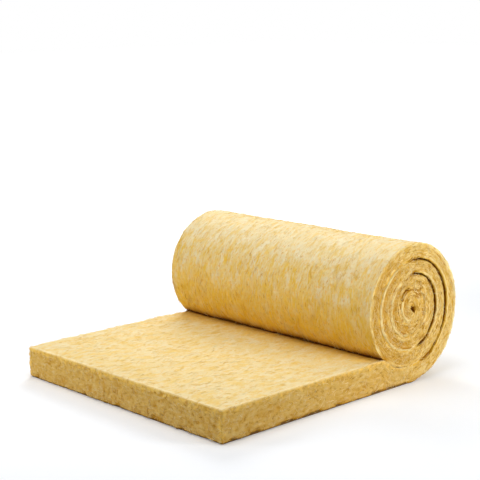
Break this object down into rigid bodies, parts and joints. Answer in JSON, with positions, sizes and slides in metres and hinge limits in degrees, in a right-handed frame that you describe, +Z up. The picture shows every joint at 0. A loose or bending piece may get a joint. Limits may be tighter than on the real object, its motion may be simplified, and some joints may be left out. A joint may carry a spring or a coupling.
{
  "type": "glass wool insulation roll, partly unrolled",
  "caption": "Blanket of glass wool wound into a loose spiral roll, with its free end laid flat at full thickness in front of the roll.",
  "frame": {"origin": "on the floor, below the middle of the whole part's bounding box", "axes": "+X from the flat free end towards the roll, +Y along the roll's axis, +Z up"},
  "size_m": [1.3194, 1.206, 0.5759],
  "materials": {
    "glass_wool": "matt, fibrous"
  },
  "bodies": {
    "root": {"wool_blanket": "glass_wool"}
  },
  "joints": []
}
